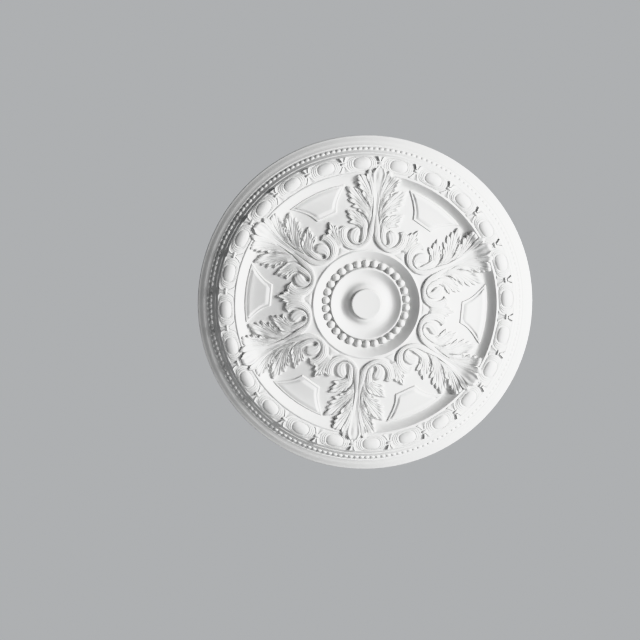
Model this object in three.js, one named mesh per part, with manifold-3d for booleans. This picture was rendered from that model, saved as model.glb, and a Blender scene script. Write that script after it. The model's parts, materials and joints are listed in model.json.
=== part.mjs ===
// Ceiling rose
// One round white casting: an egg and dart rim round a shallow field of six acanthus leaves,
// with a beaded dish and a plain disc in the middle. Millimetres, flat back in the plane y = 0,
// face towards -Y, one leaf straight up along +Z. Everything is laid out face up (height along z)
// and turned on to its edge at the very end.
import * as THREE from 'three';
import { mergeVertices } from 'three/addons/utils/BufferGeometryUtils.js';
import Module from 'manifold-3d';

const wasm = await Module();
wasm.setup();

// Driving dimensions
const roseRadius = 350;
const lipDepth = 6;
const fieldTurns = 24;
const dishTurns = 30;
const coveRadius = 254;
const coveFloor = 17.6;
const fieldInnerRadius = 117;
const fieldInnerHeight = 41;
const fieldFall = [[254, 17.6], [238, 17.6], [165, 35], [117, 41]];
const eggCount = 24;
const rimTurns = 2 * eggCount;
const eggRadius = 294;
const eggHalf = [15.5, 11.5, 9.5];
const eggHeight = 37;
const beadCount = 30;
const beadRadius = 84.5;
const beadSize = 7.6;
const beadFloor = 23;
const discRadius = 28.5;
const discHeight = 34.8;
const panelSize = { lift: 3, inner: 199, outer: 245, innerHalf: 21, outerHalf: 63 };
const leafCount = 6;
const leafBevel = 2.6;
const slabDepth = 20;
const middleOverlap = 0.2;
const leafFall = [[143, 44], [165, 41], [190, 37.5], [215, 32.5], [235, 32], [250, 35], [265, 42], [287, 46]];
// Half the leaf's outline from its foot to its tip, lobe by lobe
const leafEdge = [
  [0, 200], [0, 142], [9, 146], [27, 157], [46, 168], [57, 179], [55, 191], [42, 190], [28, 179], [19, 179],
  [28, 191], [43, 199], [55, 205], [61, 226], [64, 241], [50, 243], [37, 240],
  [41, 251], [45, 263], [36, 269], [26, 264], [26, 277], [17, 279], [14, 268], [14, 279], [7, 286], [0, 287],
];
const buried = 9;
const voluteCentre = [32.8, 137];
const voluteRadius = 16.8;
const voluteRise = 6.5;

// A closed triangle mesh as a solid, turned right side out if its faces point in
function solid(geometry) {
  geometry.deleteAttribute('normal');
  geometry.deleteAttribute('uv');
  const merged = mergeVertices(geometry, 1e-3);
  const corners = merged.getAttribute('position').array;
  const index = Array.from(merged.getIndex().array);
  const faces = [];
  let volume = 0;
  for (let i = 0; i < index.length; i += 3) {
    const [a, b, c] = index.slice(i, i + 3);
    if (a !== b && b !== c && c !== a) {
      faces.push([a, b, c]);
      const [p, q, r] = [a, b, c].map((n) => new THREE.Vector3().fromArray(corners, 3 * n));
      volume += p.dot(q.cross(r)) / 6;
    }
  }
  const order = volume < 0 ? faces.map(([a, b, c]) => [a, c, b]) : faces;
  const mesh = new wasm.Mesh({
    numProp: 3,
    vertProperties: new Float32Array(corners),
    triVerts: new Uint32Array(order.flat()),
  });
  return new wasm.Manifold(mesh);
}

// A turned solid from a profile of radius and height, both ends on the axis
function turned(profile, turns) {
  const points = profile.map(([radius, height]) => new THREE.Vector2(radius, height));
  return solid(new THREE.LatheGeometry(points, turns).rotateX(Math.PI / 2));
}

// Straight-line reading of a height between listed radii
function readHeight(table, radius) {
  const last = table.length - 1;
  for (let i = 0; i < last; i += 1) {
    const [[r0, h0], [r1, h1]] = [table[i], table[i + 1]];
    const t = (radius - r0) / (r1 - r0);
    if (t >= 0 && t <= 1) {
      return h0 + (h1 - h0) * t;
    }
  }
  return Math.abs(radius - table[0][0]) < Math.abs(radius - table[last][0]) ? table[0][1] : table[last][1];
}

// A carved ridge along a line of stations: sharp crown, sloping shoulders, upright buried sides.
// Each station is [x, y, half width, edge height, crown height].
function ridge(stations) {
  const cross = [[0, 1, 0], [1, 0, 0], [1, 0, 1], [-1, 0, 1], [-1, 0, 0]];
  const rings = stations.length - 1;
  const shape = new THREE.CylinderGeometry(1, 1, 1, cross.length, rings);
  const position = shape.getAttribute('position');
  for (let i = 0; i < position.count; i += 1) {
    const ring = Math.round((0.5 - position.getY(i)) * rings);
    const onAxis = Math.hypot(position.getX(i), position.getZ(i)) < 0.5;
    const angle = Math.atan2(position.getX(i), position.getZ(i)) / (2 * Math.PI);
    const corner = (Math.round(angle * cross.length) + cross.length) % cross.length;
    const [side, lift, down] = onAxis ? [0, 0, 0] : cross[corner];
    const [x, y, half, edge, crown] = stations[ring];
    const before = stations[Math.max(ring - 1, 0)];
    const after = stations[Math.min(ring + 1, rings)];
    const along = new THREE.Vector2(after[0] - before[0], after[1] - before[1]).normalize();
    const height = down ? buried : edge + (crown - edge) * lift;
    position.setXYZ(i, x - along.y * half * side, y + along.x * half * side, height);
  }
  return solid(shape);
}

// Copies of one solid, evenly turned about the axis of the rose
function around(piece, count, firstDegrees) {
  const copies = [];
  for (let i = 0; i < count; i += 1) {
    copies.push(piece.rotate([0, 0, -(firstDegrees + (360 / count) * i)]));
  }
  return copies;
}

// A solid and its mirror image across the leaf's middle line
function pair(piece) {
  return [piece, piece.mirror([1, 0, 0])];
}

const fieldHeight = (x, y) => readHeight(fieldFall, Math.hypot(x, y));

// A ridge lying on the field: stations are [x, y, half width, edge above field, crown above field]
function lobe(stations) {
  return ridge(stations.map(([x, y, half, edge, crown]) => {
    const ground = fieldHeight(x, y);
    return [x, y, half, ground + edge, ground + crown];
  }));
}

// Rim: lip, cavetto, flat, string moulding, raised egg band, and the wall down to the field
function rim() {
  const lip = [[0, 0], [roseRadius, 0], [roseRadius, lipDepth], [345.5, 9]];
  const cavetto = [[341, 12.4], [337.5, 17], [330.5, 18.3], [328, 22]];
  const string = [[324, 22.6], [322, 29], [313.5, 31.4]];
  const band = [[309.5, 36.6], [294, 39.8], [273, 34.4]];
  const wall = [[262.5, 24], [coveRadius, coveFloor], [coveRadius - 14, coveFloor], [coveRadius - 14, 8]];
  return turned([...lip, ...cavetto, ...string, ...band, ...wall, [0, 8]], rimTurns);
}

// Field: a shallow cone rising from the cove to the ring that holds the dish
function field() {
  const outer = fieldFall.slice(1);
  const wall = [[0, 4], [coveRadius + 6, 4], [coveRadius + 6, 10], [coveRadius - 10, coveFloor - 1]];
  return turned([...wall, ...outer, [fieldInnerRadius - 7, 10], [0, 10]], fieldTurns);
}

// Dish: a raised ring, a slope down to the bead channel, a bowl and the plain disc
function dish() {
  const ring = [[0, 5], [fieldInnerRadius - 1, 5], [fieldInnerRadius - 1, 43.4], [112, 43.4]];
  const slope = [[94, beadFloor], [76.5, beadFloor], [75, 26.5]];
  const bowl = [[65, 19.2], [50, 16.4], [33, 29.4]];
  const disc = [[31.5, 33.4], [discRadius, discHeight], [0, discHeight]];
  return turned([...ring, ...slope, ...bowl, ...disc], dishTurns);
}

// Egg: an oval boss lying across the band
function egg() {
  const [across, inOut, tall] = eggHalf;
  const oval = new THREE.SphereGeometry(1, 8, 4).rotateX(Math.PI / 2).scale(across, inOut, tall);
  return solid(oval.translate(0, eggRadius, eggHeight));
}

// Dart: a narrow leaf between two eggs, spreading towards the field
function dart() {
  return ridge([[0, 309, 3, 35, 42], [0, 277, 9, 34, 39]]);
}

// Bead: a round ball standing in the channel of the dish
function bead() {
  const ball = new THREE.SphereGeometry(beadSize, 8, 4).rotateX(Math.PI / 2).scale(1, 1, 1.35);
  return solid(ball.translate(0, beadRadius, beadFloor - 0.01));
}

// Panel: a raised field with curved sides, filling the space between two leaf tips
function panel() {
  const { lift, inner, outer, innerHalf, outerHalf } = panelSize;
  const middle = [(innerHalf + outerHalf) / 2 - 9, (inner + outer) / 2 + 4];
  const outline = new THREE.Shape();
  outline.moveTo(-innerHalf, inner);
  outline.lineTo(innerHalf, inner);
  outline.lineTo(middle[0], middle[1]);
  outline.lineTo(outerHalf, outer);
  outline.lineTo(0, Math.hypot(outerHalf, outer));
  outline.lineTo(-outerHalf, outer);
  outline.lineTo(-middle[0], middle[1]);
  const slab = new THREE.ExtrudeGeometry(outline, { depth: 60, bevelEnabled: false });
  const raised = fieldFall.map(([radius, height]) => [radius, height + lift]);
  return solid(slab).intersect(turned([[0, 4], [raised[0][0], 4], ...raised, [0, 41]], fieldTurns));
}

// Leaf: two bevelled half slabs whose tops follow leafFall; their bevels meet in a middle groove
function leaf() {
  const outline = new THREE.Shape(leafEdge.map(([x, y]) => new THREE.Vector2(x - middleOverlap, y)));
  const slab = new THREE.ExtrudeGeometry(outline, {
    depth: slabDepth,
    bevelThickness: leafBevel,
    bevelSize: leafBevel,
    bevelOffset: -leafBevel,
    bevelSegments: 1,
  });
  const position = slab.getAttribute('position');
  for (let i = 0; i < position.count; i += 1) {
    const z = position.getZ(i);
    const top = readHeight(leafFall, Math.hypot(position.getX(i), position.getY(i)));
    position.setZ(i, z > slabDepth / 2 ? top + z - slabDepth - leafBevel : buried + z);
  }
  return pair(solid(slab));
}

// Scroll: a volute beside the foot of the leaf and the stem that runs on from it to the bud
function scroll() {
  const [x, y] = voluteCentre;
  const crown = fieldHeight(x, y) + voluteRise;
  const profile = [[0, buried], [voluteRadius, buried], [voluteRadius, crown - 4], [voluteRadius * 0.6, crown]];
  const volute = turned([...profile, [0, crown - 5]], 8).translate([x, y, 0]);
  const stem = lobe([[24, 117, 5, 1, 6], [55, 117, 6, 1, 7], [75, 142, 5, 1, 6]]);
  return [...pair(volute), ...pair(stem)];
}

// Bud: a pointed shoot built on the line between two leaves
function bud() {
  return [lobe([[0, 140, 6, 1, 6], [0, 172, 10, 1, 8], [0, 186, 3, 1, 6]])];
}

// Everything joined into the one casting
function casting() {
  const step = 360 / leafCount;
  const panels = around(panel(), leafCount, step / 2);
  const leaves = [...leaf(), ...scroll()].flatMap((piece) => around(piece, leafCount, 0));
  const buds = bud().flatMap((piece) => around(piece, leafCount, step / 2));
  const eggs = around(egg(), eggCount, 180 / eggCount);
  const darts = around(dart(), eggCount, 0);
  const beads = around(bead(), beadCount, 180 / beadCount);
  const parts = [rim(), field(), dish(), ...panels, ...leaves, ...buds, ...eggs, ...darts, ...beads];
  return parts.reduce((whole, part) => whole.add(part));
}

const joined = casting().getMesh();
const surface = new THREE.BufferGeometry();
surface.setAttribute('position', new THREE.BufferAttribute(new Float32Array(joined.vertProperties), 3));
surface.setIndex(new THREE.BufferAttribute(new Uint32Array(joined.triVerts), 1));
surface.rotateX(Math.PI / 2);
surface.computeVertexNormals();

const whiteCasting = new THREE.MeshStandardMaterial({ color: 0xf1f1ef, roughness: 0.55, metalness: 0 });
const rose = new THREE.Mesh(surface, whiteCasting);
rose.name = 'ceiling_rose';

const group = new THREE.Group();
group.add(rose);

export default group;
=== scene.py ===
# %% [markdown]
# # A ceiling rose
# A ceiling rose is one white casting that hides where a lamp hangs from the ceiling. This one
# has an egg and dart rim, six acanthus leaves and a beaded dish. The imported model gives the
# frame: its size, its place and its flat back. Everything below is modelled on top of that.

# %% Load the frame
import bpy
import bmesh
import json
from math import atan2, cos, exp, hypot, pi, radians, sin, sqrt
from mathutils import Matrix, Vector

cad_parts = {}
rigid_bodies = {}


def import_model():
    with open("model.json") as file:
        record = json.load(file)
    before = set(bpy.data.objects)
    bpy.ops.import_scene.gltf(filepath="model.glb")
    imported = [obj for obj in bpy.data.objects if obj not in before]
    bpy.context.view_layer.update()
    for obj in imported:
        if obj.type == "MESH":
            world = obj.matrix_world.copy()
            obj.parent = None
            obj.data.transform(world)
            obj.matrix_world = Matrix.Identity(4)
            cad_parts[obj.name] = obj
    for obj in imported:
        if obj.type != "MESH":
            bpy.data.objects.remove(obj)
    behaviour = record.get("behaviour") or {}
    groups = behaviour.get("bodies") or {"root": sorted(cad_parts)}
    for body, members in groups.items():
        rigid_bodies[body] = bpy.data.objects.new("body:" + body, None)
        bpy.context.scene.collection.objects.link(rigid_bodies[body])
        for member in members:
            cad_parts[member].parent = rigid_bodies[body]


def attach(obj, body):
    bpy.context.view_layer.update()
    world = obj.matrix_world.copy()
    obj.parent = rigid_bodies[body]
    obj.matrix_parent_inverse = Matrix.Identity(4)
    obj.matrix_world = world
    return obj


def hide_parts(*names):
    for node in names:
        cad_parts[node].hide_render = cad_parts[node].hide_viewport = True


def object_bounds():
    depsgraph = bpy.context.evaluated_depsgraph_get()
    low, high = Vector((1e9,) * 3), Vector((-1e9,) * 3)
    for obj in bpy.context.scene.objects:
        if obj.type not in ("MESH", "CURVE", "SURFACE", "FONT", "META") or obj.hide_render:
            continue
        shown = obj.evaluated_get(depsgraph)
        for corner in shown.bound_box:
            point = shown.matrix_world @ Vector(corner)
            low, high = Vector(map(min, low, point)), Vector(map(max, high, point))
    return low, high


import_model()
cad_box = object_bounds()
mm_per_metre = 1000
rim = (cad_box[1][0] - cad_box[0][0]) / 2 * mm_per_metre
print("radius of the rose, mm:", round(rim, 1))

# %% [markdown]
# ## The turned body
# On the real rose a plasterer would run the round mouldings first, by sweeping a cut profile
# about the centre. Stacked cylinders and rings could stand in for them, but spinning one
# profile is closer to the craft and leaves no seams between the mouldings.
#
# The profile is drawn in millimetres as radius and height above the back, in stretches: a
# stretch is either straight from corner to corner or a smooth curve through its points, and
# stretches meet in crisp edges.

# %% Smooth curves through a few points
def through(points, t):
    """The point at share t, 0 to 1, of a smooth curve through evenly counted points."""
    last = len(points) - 1
    place = min(max(t, 0.0), 1.0) * last
    i = min(int(place), last - 1)
    u = place - i
    p1 = Vector(points[i])
    p2 = Vector(points[i + 1])
    p0 = Vector(points[i - 1]) if i > 0 else p1 * 2 - p2
    p3 = Vector(points[i + 2]) if i + 2 <= last else p2 * 2 - p1
    return 0.5 * (p1 * 2 + (p2 - p0) * u + (p0 * 2 - p1 * 5 + p2 * 4 - p3) * u ** 2
                  + (p1 * 3 - p0 - p2 * 3 + p3) * u ** 3)


def smooth_run(points, pieces):
    """Every point of a curve through the given points, cut into that many pieces."""
    return [tuple(through(points, i / pieces)) for i in range(pieces + 1)]


# %% The rim, from its edge in
lip_height = 6
lip = [(0, 0), (rim, 0), (rim, lip_height), (rim - 0.8, 7.3)]
cavetto = smooth_run([(rim - 1.6, 7.5), (rim - 4.4, 8.8), (rim - 7.6, 10.9), (rim - 11, 12.8)], 5)
flat = [(rim - 12, 13.3), (rim - 18.6, 14.4), (rim - 19.2, 15.2), (rim - 20.4, 15.4),
        (rim - 21.2, 14.9)]
pearl_seat = [(rim - 21.8, 15.1), (rim - 33.2, 23.8), (rim - 34, 25.2), (rim - 35.4, 25.8),
              (rim - 36.2, 25.6)]
band_foot = smooth_run([(rim - 36.8, 26.2), (rim - 38.8, 28.8), (rim - 41, 30.2)], 3)
egg_band = smooth_run([(rim - 41.8, 29.8), (rim - 47, 31.6), (rim - 56, 33), (rim - 66, 32.6),
                       (rim - 73, 31)], 8)
cove_lip = [(rim - 74.2, 31.2), (rim - 75, 32.4), (rim - 77.4, 32.8), (rim - 78.4, 32)]
cove = smooth_run([(rim - 79, 31.2), (rim - 83, 26.8), (rim - 88, 22.4), (rim - 93, 19),
                   (rim - 97, 17.4)], 10)
rim_profile = lip + cavetto + flat + pearl_seat + band_foot + egg_band + cove_lip + cove
print("rim profile corners:", len(rim_profile))

# %% The field and the dish, to the middle
ground = smooth_run([(rim - 99, 17.2), (238, 17.6), (220, 20.4), (200, 24.2), (180, 28.6),
                     (165, 31.8), (150, 34.2), (132, 36.2), (115.6, 37.6)], 14)
ring = [(114.8, 37.8), (113.6, 39.4), (112.2, 40.4), (110.8, 40.7), (109.8, 40.2)]
dish_wall = smooth_run([(109.2, 39.7), (104.5, 36.2), (99.5, 32.2), (95, 28.4), (93, 26)], 8)
bead_seat = [(92.4, 25.2), (90.4, 24.6), (78, 22), (76.2, 22.4), (75.2, 28.4), (74, 29.8)]
bowl = smooth_run([(73, 29.9), (67.6, 26), (62, 22.4), (57, 20.2), (52.4, 19.4), (48.4, 19.8),
                   (45, 21), (42, 23.2), (39, 25.9), (35.8, 27.9), (33, 28.9)], 20)
disc = [(32.4, 29.1), (31.8, 28.3), (31.4, 33.2), (30.6, 34.4), (29.4, 34.8), (28, 34.7), (0, 34.6)]
profile = rim_profile + ground + ring + dish_wall + bead_seat + bowl + disc
print("corners of the whole profile:", len(profile))


def body_height(radius):
    """The height of the turned body's face at a radius."""
    for (r1, h1), (r0, h0) in zip(profile[2:], profile[3:]):
        if r0 <= radius <= r1 and r1 > r0:
            return h0 + (h1 - h0) * (radius - r0) / (r1 - r0)
    return lip_height


# %% [markdown]
# `bmesh.ops.spin` turns the profile once round. Its first and last copies are welded, and so
# are the points on the axis. The mesh lies face up for now, with heights along Z, because the
# face is easier to think about lying on a bench.

# %% Spin the profile
rose_mesh = bmesh.new()
body_turns = 120
weld_distance = 0.0005


def spun(mesh, outline, turns):
    """Turns an outline of radius and height once round the axis and closes the seam."""
    corners = [mesh.verts.new((radius, 0, height)) for radius, height in outline]
    edges = [mesh.edges.new(pair) for pair in zip(corners, corners[1:])]
    bmesh.ops.spin(mesh, geom=corners + edges, cent=(0, 0, 0), axis=(0, 0, 1), angle=2 * pi,
                   steps=turns, use_merge=True)
    bmesh.ops.remove_doubles(mesh, verts=mesh.verts[:], dist=weld_distance)
    bmesh.ops.recalc_face_normals(mesh, faces=mesh.faces[:])


spun(rose_mesh, profile, body_turns)
print("turned body:", len(rose_mesh.faces), "faces")

# %% [markdown]
# ## Carved sheets
# The ornament could be sculpted on one very fine surface, but that takes millions of faces.
# Here it is modelled as a carver cuts it, lobe by lobe. Each lobe is a grid whose corners are
# moved into place. Its border is then extruded down into the body and closed, so that every
# lobe is a closed shell, and shells overlap as carved lobes do.

# %% A closed sheet from a grid
# Height above the back to which every sheet reaches down, inside the turned body
buried = 4.0


def carved_sheet(mesh, columns, rows, shape):
    """A grid with its corners at shape(s, t), for s across and t along, closed below."""
    grid = bmesh.ops.create_grid(mesh, x_segments=columns, y_segments=rows, size=1)["verts"]
    for corner in grid:
        corner.co = shape((corner.co.x + 1) / 2, (corner.co.y + 1) / 2)
    border = [edge for edge in mesh.edges if edge.is_boundary]
    skirt = bmesh.ops.extrude_edge_only(mesh, edges=border)["geom"]
    for corner in skirt:
        if isinstance(corner, bmesh.types.BMVert):
            corner.co.z = buried
    bmesh.ops.contextual_create(mesh, geom=[edge for edge in mesh.edges if edge.is_boundary])


print("sheets reach down to", buried, "mm above the back")

# %% [markdown]
# The heights of every sheet are sums of a few plain curves: an even step from one level to
# another, and a round bump. Both are formulas, so a groove or a roll can be made deeper, wider
# or moved by changing one number.

# %% A step and a bump
def smooth_step(low, high, value):
    """0 below low, 1 above high, and an even ease in between."""
    t = min(max((value - low) / (high - low), 0.0), 1.0)
    return t * t * (3 - 2 * t)


def bump(distance, width):
    """1 at distance 0, and soon 0 away from it."""
    return exp(-(distance / width) ** 2)


print("half way up a step:", smooth_step(0, 1, 0.5), " one width from a bump:", round(bump(1, 1), 2))

# %% [markdown]
# A unit, such as one leaf, is made in a small mesh of its own and then repeated round the rose
# with `spin`, which is much quicker than working in the big mesh. An Array modifier would do
# as well, but then each unit would be an object of its own until the end.

# %% Repeat a unit round the rose
def set_around(unit, count, first_degrees):
    """Turns a unit to its first place, repeats it about the axis and joins it to the rose."""
    bmesh.ops.recalc_face_normals(unit, faces=unit.faces[:])
    bmesh.ops.rotate(unit, verts=unit.verts[:], cent=(0, 0, 0),
                     matrix=Matrix.Rotation(-radians(first_degrees), 3, "Z"))
    bmesh.ops.spin(unit, geom=unit.verts[:] + unit.faces[:], cent=(0, 0, 0), axis=(0, 0, 1),
                   angle=2 * pi * (count - 1) / count, steps=count - 1, use_duplicate=True)
    joined = bpy.data.meshes.new("joined")
    unit.to_mesh(joined)
    print("  faces added:", len(unit.faces))
    unit.free()
    rose_mesh.from_mesh(joined)
    bpy.data.meshes.remove(joined)


def mirror_unit(unit):
    """Adds the mirror image of everything so far across x = 0."""
    copy = bmesh.ops.duplicate(unit, geom=unit.verts[:] + unit.faces[:])["geom"]
    other = [item for item in copy if isinstance(item, bmesh.types.BMVert)]
    bmesh.ops.scale(unit, vec=(-1, 1, 1), verts=other)


# %% [markdown]
# ## Heights of the leaf
# Seen from the side the leaf sinks from its foot towards the cove and then swings up over the
# rim. All its lobes lie on this one bed, whose levels are given at even steps outwards. Where
# two lobes part, their edges leave a small eye open, as carvers do, and the lobes swell round
# it, which makes it look deep.

# %% The bed of the leaf and the swelling round its eyes
leaf_start = 110
leaf_span = 180
leaf_bed_heights = [39.6, 38.6, 36.2, 32.8, 28.6, 24.2, 21, 22.4, 31.8, 35.6]
eyes = [(20.5, 213.5), (22.5, 186.5), (37, 235)]
eye_swell = 2.2
eye_reach = 6.5


def levels(heights):
    """Evenly spaced heights, as points that through() can read."""
    return [(i, h) for i, h in enumerate(heights)]


def leaf_bed(radius):
    """The general level of the leaf's face at a radius, which swings up to the rim."""
    return through(levels(leaf_bed_heights), (radius - leaf_start) / leaf_span)[1]


def eye_rims(x, y):
    """How far the lobes swell at a point, which is most beside an eye."""
    return sum(eye_swell * bump(hypot(x - eye_x, y - eye_y), eye_reach) for eye_x, eye_y in eyes)


print("leaf bed at 170, 230 and 290 mm:", [round(leaf_bed(radius), 1) for radius in (170, 230, 290)])

# %% [markdown]
# ## Fans of veins
# An acanthus lobe is a fan: its veins leave a short root side by side, lean outwards, and one
# ends at every tooth and every notch of the lobe's outline. Grooves could be cut into a flat
# outline afterwards, but they would cross the teeth at odd places. So the grid itself is laid
# along the veins, and each vein is a curve with two handles: one straight out of its root, and
# one on the way to its end, which is drawn over to the lobe's spine for the veins in the middle.

# %% The run of one vein
# How far the root's handle reaches, as a share of the way to the spine or of the whole vein
spine_share = 0.62
vein_share = 0.5
# How far along the other handle lies, from root to end and from spine to end
straight_on = 0.72
past_spine = 0.42


def vein_point(root, spine, outline, upwards, s, t):
    """Where the vein at share s of a fan has got to at share t of its length."""
    start = Vector(root[0]).lerp(Vector(root[1]), s)
    end = through(outline, s)
    inner = 1 - abs(2 * s - 1) ** 2.5
    reach = min((Vector(spine) - start).length * spine_share, (end - start).length * vein_share)
    leave = start + upwards * reach
    arrive = start.lerp(end, straight_on).lerp(Vector(spine).lerp(end, past_spine), inner)
    return (start * (1 - t) ** 3 + leave * 3 * t * (1 - t) ** 2
            + arrive * 3 * t ** 2 * (1 - t) + end * t ** 3)


# %% [markdown]
# Across the fan, a groove runs to each notch and a finer one to each tooth. Along it, the root
# dives into the leaf, the face domes up, and the edge is rolled a little before it drops.

# %% One fan
columns_per_step = 3
groove_sharpness = 2.6
tooth_share = 0.45


def fan(mesh, root, spine, outline, rows, crown, lift=0.0, depth=1.5, rise=(0.05, 1)):
    """A lobe from a root line, past its spine, to an outline that goes notch, tooth, notch."""
    steps = len(outline) - 1
    upwards = Vector(rise).normalized()

    def shape(s, t):
        at = vein_point(root, spine, outline, upwards, s, t)
        to_notch = abs((s * steps + 1) % 2 - 1)
        notch_groove = max(0, 1 - groove_sharpness * to_notch)
        tooth_groove = tooth_share * max(0, 1 - groove_sharpness * (1 - to_notch))
        deepening = (0.5 + 0.5 * smooth_step(0.1, 0.6, t)) * (1 + 0.8 * t ** 6)
        dome = (1 - abs(2 * s - 1) ** 4) * (0.4 + 0.6 * smooth_step(0, 0.5, t))
        edge_roll = 1.1 * bump(t - 0.92, 0.05) - 0.9 * bump(t - 0.76, 0.09)
        edge_drop = 1.8 * smooth_step(0.95, 1.0, t)
        root_drop = 4 * (1 - smooth_step(0, 0.14, t))
        swelling = eye_rims(at.x, at.y) * smooth_step(0.1, 0.5, t)
        groove = (notch_groove + tooth_groove) * deepening
        height = leaf_bed(at.length) + lift + crown * dome - depth * groove
        return Vector((at.x, at.y, height + edge_roll - edge_drop - root_drop + swelling))

    carved_sheet(mesh, steps * columns_per_step, rows, shape)


# %% [markdown]
# A ribbon is the other kind of sheet: it runs between two lines, and its ribs run along it.
# The scrolls could be swept tubes, but a carved scroll is a flat band that widens and narrows,
# which two free lines give directly.

# %% One ribbon
rib_rise = 1.1


def ribbon(mesh, outer, inner, columns, rows, ribs, crown, lift, emerge):
    """A band of raised ribs between an outer and an inner line, which rises out of the leaf."""
    def shape(s, t):
        at = through(outer, t).lerp(through(inner, t), s)
        dome = 1 - abs(2 * s - 1) ** 3
        rib = abs(sin(pi * ribs * s)) ** 0.7
        risen = smooth_step(0, emerge, t)
        level = leaf_bed(at.length) + through(levels(lift), t)[1]
        start_drop = 3 * (1 - risen)
        end_drop = 2.5 * smooth_step(0.95, 1, t)
        height = level + (crown * dome + rib_rise * rib) * risen - start_drop - end_drop
        return Vector((at.x, at.y, height))

    carved_sheet(mesh, columns, rows, shape)


# %% [markdown]
# ## One leaf
# x runs across the leaf and y outwards from the centre of the rose, both in millimetres. The
# half leaf has four lobes, from the tip to the foot. Each outline goes from notch to tooth to
# notch, and it begins and ends along its neighbours, so that no ground shows between lobes
# except at the eyes.

# %% Outlines of the four lobes
tip_outline = [(20, 256), (27.5, 268.5), (26, 275), (21.2, 280), (16.8, 276), (14.5, 266)]
upper_outline = [(12.5, 202), (19, 212.3), (25.2, 220.5), (32, 228.5), (30, 234), (40.5, 241.5),
                 (37.5, 247), (44.5, 251), (41, 255.5), (46.5, 262), (41, 266.5), (34.5, 268),
                 (28, 267.5), (21.5, 262), (14, 252)]
middle_outline = [(14, 175), (21.6, 183.6), (29.5, 189.4), (38, 193.5), (36, 196), (51, 199.5),
                  (45.5, 205), (59.5, 212), (53.5, 217.5), (61.5, 223.5), (58, 228), (63.5, 239.5),
                  (52, 240), (43.5, 238), (35, 231), (30, 225.8), (22, 215.6), (15.2, 204.6), (12, 195)]
lower_outline = [(25.5, 156), (32, 160.5), (37.5, 163), (54.5, 166.5), (49, 172.5), (57.5, 180),
                 (55, 184.5), (61.5, 191), (51, 192), (41, 190), (32.5, 187.4), (24.6, 185), (16, 173)]
print("teeth and notches of half a leaf:",
      sum(len(outline) for outline in (tip_outline, upper_outline, middle_outline, lower_outline)))

# %% [markdown]
# A band that starts along the upper edge of the lowest lobe rolls into a volute beside the
# leaf's foot. A stem runs down beside the leaf's middle, passes round the volute on the side of
# the ring and ends beside the bud. Each is a ribbon between an outer and an inner line, with
# its lift over the leaf's bed given at even steps along it.

# %% Lines of the volute and the stem
volute_outer = [(40, 189.5), (25.5, 181), (17.5, 168), (14.2, 154), (14.6, 141), (19, 130),
                (28, 123.4), (39, 123.6), (48, 130.5), (51.5, 141.5), (47, 152.5), (36, 158.5)]
volute_inner = [(43, 184.5), (32, 175), (26.8, 164), (25.4, 153), (25, 142.5), (24.4, 133),
                (27.6, 127.6), (32, 129.2), (33, 134.8), (30, 141.4), (28.2, 147.6), (29.4, 153.6)]
volute_lift = [-0.6, 0.4, 0.8, 1, 1.2, 1.2, 1.2, 1.2, 1.2, 1.2, 1.2, 0.6]
stem_outer = [(1.6, 226), (0.8, 206), (0.3, 185), (0.3, 165), (1, 148), (4.6, 135), (11.5, 125),
              (22, 116.5), (37, 111), (53, 113.5), (65, 122.5), (71.5, 136), (72, 149), (66, 157.5),
              (57, 156.5)]
stem_inner = [(4, 226), (4.6, 206), (6.2, 185), (9.4, 166), (12.4, 151), (14.6, 139), (20.5, 128.5),
              (30.5, 121.8), (41.5, 122.5), (50.6, 129), (55.8, 137.5), (57, 145), (56.4, 150.4),
              (54.8, 153.4), (52, 154.6)]
stem_lift = [0.6, 1, 1.2, 1.2, 1.2, 1, 1, 1, 1, 1, 1, 1, 0.6, 0.4, 0]

# %% The half leaf
leaf_crown = 2.2


def half_leaf(mesh):
    """All carved sheets of one half leaf, on the side of positive x."""
    fan(mesh, root=[(8, 206), (4, 224)], spine=(13, 250), outline=tip_outline, rows=12,
        crown=leaf_crown, lift=1.4, depth=0.7)
    fan(mesh, root=[(8, 180), (5, 210)], spine=(19, 238), outline=upper_outline, rows=18,
        crown=leaf_crown, lift=0.9)
    fan(mesh, root=[(9, 156), (6, 184)], spine=(22, 204), outline=middle_outline, rows=18,
        crown=leaf_crown)
    fan(mesh, root=[(22, 146), (13, 156)], spine=(26, 172), outline=lower_outline, rows=16,
        crown=leaf_crown, lift=0.2)
    ribbon(mesh, volute_outer, volute_inner, columns=9, rows=38, ribs=3, crown=1.8,
           lift=volute_lift, emerge=0.3)
    ribbon(mesh, stem_outer, stem_inner, columns=12, rows=48, ribs=4, crown=2.0,
           lift=stem_lift, emerge=0.28)


# %% [markdown]
# The middle of the leaf is a shallow channel between two ribs. It is narrow at the foot and
# opens into the tip, which curls forward over the rim with a hollow on each side. It is one
# more sheet, whose half width is given at even steps from the foot to the tip.

# %% The middle of the leaf
middle_line = [(1.5, 150), (4, 161), (5, 172.5), (5.6, 184), (5.8, 195), (6.4, 206.5), (7.6, 218),
               (8.8, 229.5), (10, 241), (11.8, 252), (14, 263), (14.8, 274.5), (8.5, 285.5)]
channel_lift = 1.6
tip_lift = 1.6
hollow_place = 268
curl_place = 280.5


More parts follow.
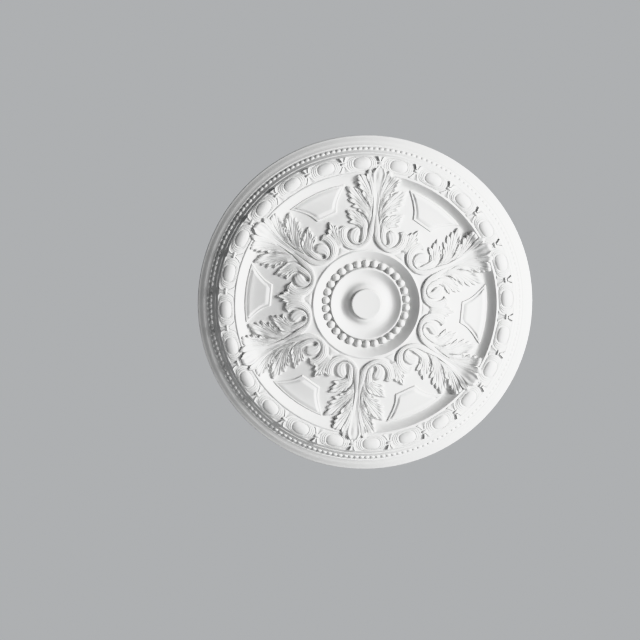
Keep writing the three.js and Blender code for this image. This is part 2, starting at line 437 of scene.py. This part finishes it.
def leaf_middle(mesh):
    """The channel with its two ribs and the curled tip."""
    def shape(s, t):
        half_width, y = through(middle_line, t)
        across = abs(2 * s - 1)
        x = (2 * s - 1) * half_width
        y -= 1.5 * across ** 3 * t ** 8
        tip = smooth_step(0.7, 0.9, t)
        rib = (1.2 + 0.8 * tip) * bump(across - 0.78, 0.2)
        groove = 0.9 * bump(x, 1.0) * smooth_step(196, 204, y) * (1 - smooth_step(230, 240, y))
        hollow = 2.0 * bump(y - hollow_place, 8.5) * bump(across - 0.48, 0.28)
        side_drop = 2.0 * across ** 8
        curl = 1.1 * bump(y - curl_place, 3.6)
        tip_drop = 2.4 * smooth_step(0.972, 1.0, t)
        foot_drop = 4 * (1 - smooth_step(0, 0.4, t))
        height = leaf_bed(y) + channel_lift + tip_lift * tip + rib - groove - hollow - side_drop
        return Vector((x, y, height + curl - tip_drop - foot_drop))

    carved_sheet(mesh, columns=16, rows=38, shape=shape)


# %% Six leaves
leaf_count = 6
leaf = bmesh.new()
half_leaf(leaf)
mirror_unit(leaf)
leaf_middle(leaf)
print("faces of one leaf:", len(leaf.faces))
set_around(leaf, leaf_count, 0)

# %% [markdown]
# ## Buds
# Between two leaves, where two stems meet, a bud stands on its own middle line. It is one more
# fan, which opens to both sides, over a small raised foot that widens towards the ring.

# %% The bud
bud_right = [(21, 154), (28, 161.5), (20.5, 162), (18.5, 168), (12.5, 167.5), (9.5, 176), (5.5, 175.5)]
bud_left = [(-x, y) for x, y in reversed(bud_right)]
bud_outline = bud_right + [(0, 188)] + bud_left
foot_start = 114.5
foot_length = 20
foot_height = 39.6


def bud(mesh):
    """A palmette over the stems, and the small raised foot below it."""
    fan(mesh, root=[(8, 128), (-8, 128)], spine=(0, 158), outline=bud_outline, rows=16,
        crown=2.8, lift=0.6, rise=(0, 1))

    def foot(s, t):
        across = 2 * s - 1
        half_width = 19 * (1 - t) ** 1.6 + 2.5
        y = foot_start + foot_length * t - 2 * abs(across) ** 2 * (1 - t)
        side_drop = 2.8 * abs(across) ** 3
        start_drop = 2.5 * (1 - smooth_step(0, 0.2, t))
        return Vector((across * half_width, y, foot_height - side_drop - 2 * t - start_drop))

    carved_sheet(mesh, columns=10, rows=8, shape=foot)


between = 180 / leaf_count
bud_unit = bmesh.new()
bud(bud_unit)
set_around(bud_unit, leaf_count, between)

# %% [markdown]
# ## Panels
# Beyond each bud a flat panel is raised in two steps. Its sides curve inwards and its top
# follows the rim. A box cut by cylinders could give that outline, but its faces would be long
# slivers. Two plates are laid instead as grids, the smaller on the larger, and the outermost
# lines of each grid are drawn together to make a crisp sloping wall.

# %% The stepped panel
panel_outer = [(22.4, 198), (30, 213), (39.5, 224.4), (52, 235.5), (64, 245)]
panel_inner = [(18.6, 204), (25.6, 216), (34.5, 226), (45, 235.4), (56, 243)]
step_height = 3.0
outer_wall = 1.8
inner_wall = 5.0
plate_columns = 16
plate_rows = 12


def to_border(share, pieces, wall_share):
    """Moves the lines next to a grid's two borders to the heads of its walls."""
    step = round(share * pieces)
    if step in (0, pieces):
        return step / pieces
    if step in (1, pieces - 1):
        return wall_share if step == 1 else 1 - wall_share
    inner = 1.3 * wall_share
    return inner + (1 - 2 * inner) * (step - 2) / (pieces - 4)


def plate(mesh, sides, lift, wall):
    """A flat plate with a sloping wall round it, raised over the field."""
    length = sides[-1][1] - sides[0][1]

    def shape(s, t):
        along = to_border(t, plate_rows, wall / length)
        half_width, y_side = through(sides, along)
        across = 2 * to_border(s, plate_columns, wall / (2 * half_width)) - 1
        x = across * half_width
        y = y_side + along * (sqrt(half_width ** 2 + y_side ** 2 - x ** 2) - y_side)
        inside = 0 < round(s * plate_columns) < plate_columns and 0 < round(t * plate_rows) < plate_rows
        raised = lift if inside else lift - step_height
        return Vector((x, y, body_height(hypot(x, y)) + raised))

    carved_sheet(mesh, plate_columns, plate_rows, shape)


panel = bmesh.new()
plate(panel, panel_outer, step_height, outer_wall)
plate(panel, panel_inner, 2 * step_height, inner_wall)
set_around(panel, leaf_count, between)

# %% [markdown]
# ## Eggs and darts
# Each egg lies in a nest of raised lines, which spread at its sides and crowd together above
# and below it. Separate rings round a ball would have to be trimmed against each other. Egg
# and nest are spun as one profile instead, as if round, and then pulled into a square-shouldered
# oval that bends with the band.

# %% Egg and nest
egg_count = 24
egg_turns = 24
egg_radius = 294.0
egg_half_width = 18.0
egg_half_height = 12.4
nest_width = 15.0
nest_inwards = 6.0
nest_outwards = 3.6
squareness = 2.6
egg_dome = [(0, 3.8), (0.35, 3.6), (0.6, 3.0), (0.8, 2.2), (0.94, 1.2), (1.0, 0.2)]
nest_lines = [(1.06, 0.2), (1.13, 1.1), (1.27, 1.2), (1.33, 0.2), (1.4, 0.9), (1.54, 1.0),
              (1.6, 0.1), (1.67, 0.7), (1.84, 0.6), (1.96, -0.8)]
nest_root = [(1.96, -9), (0, -9)]


def egg_and_nest(mesh):
    """One egg with the lines round it."""
    spun(mesh, egg_dome + nest_lines + nest_root, egg_turns)
    for corner in mesh.verts:
        reach = hypot(corner.co.x, corner.co.y)
        turn = atan2(corner.co.y, corner.co.x)
        line = max(reach - 1, 0)
        beyond = nest_inwards if corner.co.y < 0 else nest_outwards
        square = (abs(cos(turn)) ** squareness + abs(sin(turn)) ** squareness) ** (-1 / squareness)
        x = (egg_half_width * min(reach, 1) + nest_width * line) * cos(turn) * square
        y = (egg_half_height * min(reach, 1) + beyond * line) * sin(turn) * square
        y += egg_radius - x ** 2 / (2 * egg_radius)
        corner.co = (x, y, body_height(hypot(x, y)) + corner.co.z)


nest = bmesh.new()
egg_and_nest(nest)
set_around(nest, egg_count, 180 / egg_count)

# %% [markdown]
# Between two nests stands a dart. On a rose of this size it is reduced to three marks in a
# row: a cup near the pearls, a short round bar, and an arrow head that spreads towards the
# field. The sides of the cup and of the arrow head are turned up and catch the light like
# horns. Three small sheets with formulas for their heights are enough for that.

# %% The dart between two nests
bar_place = 291.8
bar_length = 5.6
bar_half_width = 6.6
bar_floor = 32.6
bar_rise = 4.4
cup_place = 299.5
cup_length = 9
cup_floor = 34.2
arrow_place = 276.5
arrow_length = 13
arrow_floor = 31.2


def turned_up(across, rise):
    """How far the sides of a mark stand up, from -1 to 1 across it."""
    return rise * abs(across) ** 1.5 * (1 - abs(across) ** 10)


def dart(mesh):
    """A bar, a cup on its outer side and an arrow head on its inner side."""
    def bar(s, t):
        across = 2 * s - 1
        roundness = sqrt(max(0, 1 - (2 * t - 1) ** 2)) * (1 - abs(across) ** 4)
        y = bar_place + bar_length * t
        return Vector((across * bar_half_width, y, bar_floor + bar_rise * roundness))

    def cup(s, t):
        across = 2 * s - 1
        half_width = 3 + 5.5 * t ** 1.5
        height = cup_floor + turned_up(across, 3.6) + 1.6 * (1 - t)
        return Vector((across * half_width, cup_place + cup_length * t, height))

    def arrow(s, t):
        across = 2 * s - 1
        half_width = 12.5 - 9.5 * t ** 0.7
        y = arrow_place + arrow_length * t + 2 * abs(across) ** 2 * (1 - t)
        height = arrow_floor + turned_up(across, 3) + 1.8 * t
        return Vector((across * half_width, y, height))

    carved_sheet(mesh, columns=8, rows=4, shape=bar)
    carved_sheet(mesh, columns=8, rows=4, shape=cup)
    carved_sheet(mesh, columns=12, rows=5, shape=arrow)


dart_unit = bmesh.new()
dart(dart_unit)
set_around(dart_unit, egg_count, 0)

# %% [markdown]
# ## Pearls and beads
# A string of small pearls lies outside the egg band and larger beads lie in the dish. The
# mould gives only their upper halves, so each is half a ball, closed flat below and repeated
# round the rose. They have few faces, because there are so many. The pearls are wider along
# the string than across it, so that they touch.

# %% Balls on a circle
def ball(radius, height, size, segments, rings):
    """The upper half of a ball at a radius, closed flat below, in a mesh of its own."""
    unit = bmesh.new()
    bmesh.ops.create_uvsphere(unit, u_segments=segments, v_segments=rings, radius=1)
    below = [corner for corner in unit.verts if corner.co.z < -0.1]
    bmesh.ops.delete(unit, geom=below, context="VERTS")
    bmesh.ops.contextual_create(unit, geom=[edge for edge in unit.edges if edge.is_boundary])
    bmesh.ops.scale(unit, vec=size, verts=unit.verts[:])
    bmesh.ops.translate(unit, vec=(0, radius, height), verts=unit.verts[:])
    return unit


pearl_count = 180
pearl_radius = rim - 27.6
pearl_height = 17.9
pearl_size = (6.3, 4.2, 3.2)
pearl = ball(pearl_radius, pearl_height, pearl_size, segments=8, rings=4)
set_around(pearl, pearl_count, 0)

bead_count = 30
bead_radius = 84.2
bead_height = 25.6
bead_size = (7.7, 7.7, 7.7)
bead = ball(bead_radius, bead_height, bead_size, segments=14, rings=8)
set_around(bead, bead_count, 180 / bead_count)

# %% [markdown]
# ## From millimetres face up to the frame
# The frame holds the rose upright in metres, back at y = 0 and face towards -Y. Turning the
# object would do for a picture, but the finished mesh is turned and scaled instead, once, so
# that its object stays at the origin. Faces that meet at a small angle are shaded as one
# smooth surface, and the others keep a crisp edge.

# %% Make the object
# Degrees between two faces, past which their shared edge stays crisp
smooth_below = 52


def finished_object(name, mesh):
    """Turns and scales the mesh into the frame and makes the object."""
    upright = Matrix.Rotation(radians(90), 4, "X") @ Matrix.Scale(1 / mm_per_metre, 4)
    bmesh.ops.transform(mesh, matrix=upright, verts=mesh.verts[:])
    data = bpy.data.meshes.new(name)
    mesh.to_mesh(data)
    mesh.free()
    data.shade_smooth()
    data.set_sharp_from_angle(angle=radians(smooth_below))
    piece = bpy.data.objects.new(name, data)
    bpy.context.scene.collection.objects.link(piece)
    return piece


rose = finished_object("ceiling_rose_cast", rose_mesh)
rose.data.calc_loop_triangles()
print("triangles:", len(rose.data.loop_triangles))
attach(rose, "root")
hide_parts("ceiling_rose")

# %% [markdown]
# ## The white finish
# The casting comes from its mould with a coat of matt white primer: nearly white, a little
# uneven, with a very fine grain. One flat white would look like plastic film. The unevenness
# goes into its colour and gloss, and the grain into its bump.
#
# The maths between nodes is written as Python expressions: a Socket stands for one output of
# a node, and adding or multiplying it adds the Math node that does so.

# %% Shader maths as expressions
class Socket:
    """One output of a node. Maths on it adds Math nodes."""

    def __init__(self, tree, output):
        self.tree = tree
        self.output = output

    def node(self, kind, settings=None, sockets=None):
        """Adds a node: its settings are set first, then its sockets get values or links."""
        made = self.tree.nodes.new(kind)
        for name, value in (settings or {}).items():
            setattr(made, name, value)
        for key, value in (sockets or {}).items():
            if isinstance(value, Socket):
                self.tree.links.new(value.output, made.inputs[key])
            else:
                made.inputs[key].default_value = value
        return made

    def maths(self, operation, first, second):
        """Adds a Math node on two values or sockets."""
        made = self.node("ShaderNodeMath", {"operation": operation}, {0: first, 1: second})
        return Socket(self.tree, made.outputs[0])

    def __add__(self, other):
        return self.maths("ADD", self, other)

    def __radd__(self, other):
        return self.maths("ADD", other, self)

    def __mul__(self, other):
        return self.maths("MULTIPLY", self, other)

    def __rmul__(self, other):
        return self.maths("MULTIPLY", other, self)


# %% White primer
darker_white = (0.76, 0.76, 0.755, 1)
lighter_white = (0.81, 0.81, 0.805, 1)
# The colour sockets of a Mix node are found by number, because its names are used twice
mix_first = 6
mix_second = 7
mix_result = 2


def white_primer():
    """Matt white paint over fine-grained resin."""
    paint = bpy.data.materials.new("white_primer")
    paint.use_nodes = True
    tree = paint.node_tree
    shader = tree.nodes["Principled BSDF"]
    place = Socket(tree, tree.nodes.new("ShaderNodeTexCoord").outputs["Object"])
    cloud_node = place.node("ShaderNodeTexNoise", None, {"Vector": place, "Scale": 9.0, "Detail": 3.0})
    grain_node = place.node("ShaderNodeTexNoise", None, {"Vector": place, "Scale": 900.0, "Detail": 2.0})
    clouds = Socket(tree, cloud_node.outputs["Fac"])
    grain = Socket(tree, grain_node.outputs["Fac"])
    tone = place.node("ShaderNodeMix", {"data_type": "RGBA"}, {
        "Factor": clouds, mix_first: darker_white, mix_second: lighter_white})
    tree.links.new(tone.outputs[mix_result], shader.inputs["Base Color"])
    roughness = 0.5 + 0.12 * clouds
    tree.links.new(roughness.output, shader.inputs["Roughness"])
    relief = place.node("ShaderNodeBump", None, {"Strength": 0.08, "Distance": 0.0006, "Height": grain})
    tree.links.new(relief.outputs["Normal"], shader.inputs["Normal"])
    return paint


rose.data.materials.append(white_primer())
print("nodes of the white primer:", len(rose.data.materials[0].node_tree.nodes))

# %% [markdown]
# ## Studio
# White relief on white shows only by its shadows, so the studio matters as much as the shape.
# A pale floor lies below the rose.

# %% Floor
floor_half = 4
floor_middle = (0, -3.2, -1.1)
floor_grey = 0.6


def plain_material(name, value):
    """A matt grey for the studio."""
    made = bpy.data.materials.new(name)
    made.use_nodes = True
    shader = made.node_tree.nodes["Principled BSDF"]
    shader.inputs["Base Color"].default_value = (value, value, value, 1)
    shader.inputs["Roughness"].default_value = 0.9
    return made


floor_mesh = bmesh.new()
bmesh.ops.create_grid(floor_mesh, x_segments=1, y_segments=1, size=floor_half)
bmesh.ops.translate(floor_mesh, vec=floor_middle, verts=floor_mesh.verts[:])
floor_data = bpy.data.meshes.new("floor")
floor_mesh.to_mesh(floor_data)
floor_mesh.free()
floor = bpy.data.objects.new("floor", floor_data)
bpy.context.scene.collection.objects.link(floor)
floor.data.materials.append(plain_material("pale_floor", floor_grey))

# %% [markdown]
# One broad light stands to the right and a little above, low over the face, so that it rakes
# across the relief and every rib casts a short shadow to the left. Several lights would fill
# those shadows and flatten the carving.

# %% The key light
key_distance = 5.0
key_low = radians(38)
key_turn = radians(17)
key_size = 1.6
key_power = 352


def area_light(name, place, target, size, power):
    """A square soft light that faces a point."""
    lamp = bpy.data.lights.new(name, "AREA")
    lamp.size = size
    lamp.energy = power
    lamp_object = bpy.data.objects.new(name, lamp)
    lamp_object.location = place
    lamp_object.rotation_euler = (Vector(target) - Vector(place)).to_track_quat("-Z", "Y").to_euler()
    bpy.context.scene.collection.objects.link(lamp_object)


key_way = Vector((cos(key_low) * cos(key_turn), -sin(key_low), cos(key_low) * sin(key_turn)))
area_light("key", key_way * key_distance, (0, 0, 0), key_size, key_power)
print("key light at, m:", [round(c, 2) for c in key_way * key_distance])

# %% [markdown]
# The room gives an even fill. It is brighter behind the rose than in front of it, which sets
# the white edge against a mid grey and still leaves the shadows in the carving dark.

# %% The room
room_front = 0.04
room_behind = 0.48
room_change = 0.25
room_white = (0.96, 0.98, 1.0, 1)
world = bpy.data.worlds.new("studio")
bpy.context.scene.world = world
world.use_nodes = True
room_tree = world.node_tree
way = Socket(room_tree, room_tree.nodes.new("ShaderNodeTexCoord").outputs["Generated"])
way_parts = way.node("ShaderNodeSeparateXYZ", None, {"Vector": way})
way_back = Socket(room_tree, way_parts.outputs["Y"])
fill = way.node("ShaderNodeMapRange", {"interpolation_type": "SMOOTHSTEP"}, {
    "Value": way_back, "From Min": -room_change, "From Max": room_change,
    "To Min": room_front, "To Max": room_behind})
room_tree.links.new(fill.outputs["Result"], room_tree.nodes["Background"].inputs["Strength"])
room_tree.nodes["Background"].inputs["Color"].default_value = room_white
bpy.context.scene.view_settings.view_transform = "Khronos PBR Neutral"

# %% [markdown]
# ## Camera
# The camera has a long lens and looks almost square at the face, turned by the few degrees
# that the rose is turned in the photograph. The rose's place and width there, in pixels, give
# the point to aim at and the width of the frame.

# %% The camera
picture_px = 640
rose_width_px = 335
rose_middle_px = (365.6, 303.1)
# Metres from the rose, and the depth in front of its back that the camera aims at
lens_distance = 8.0
face_depth = 0.007
sensor_mm = 36
aside = radians(5.2)
above = radians(5.2)
roll = radians(5.6)
frame_width = picture_px / rose_width_px * 2 * rim / mm_per_metre
aim_right = (picture_px / 2 - rose_middle_px[0]) / picture_px * frame_width
aim_up = -(picture_px / 2 - rose_middle_px[1]) / picture_px * frame_width
view_from = Vector((-sin(aside) * cos(above), -cos(aside) * cos(above), sin(above))) * lens_distance
right = Vector((cos(roll), 0, sin(roll)))
up = Vector((-sin(roll), 0, cos(roll)))
aim = right * aim_right + up * aim_up + Vector((0, -face_depth, 0))
camera_data = bpy.data.cameras.new("camera")
camera_data.sensor_width = sensor_mm
camera_data.lens = sensor_mm * lens_distance / frame_width
camera = bpy.data.objects.new("camera", camera_data)
bpy.context.scene.collection.objects.link(camera)
back = (view_from - aim).normalized()
side = up.cross(back).normalized()
turned = Matrix((side, back.cross(side), back)).transposed().to_4x4()
camera.matrix_world = Matrix.Translation(view_from) @ turned
bpy.context.scene.camera = camera
print("lens, mm:", round(camera_data.lens, 1))
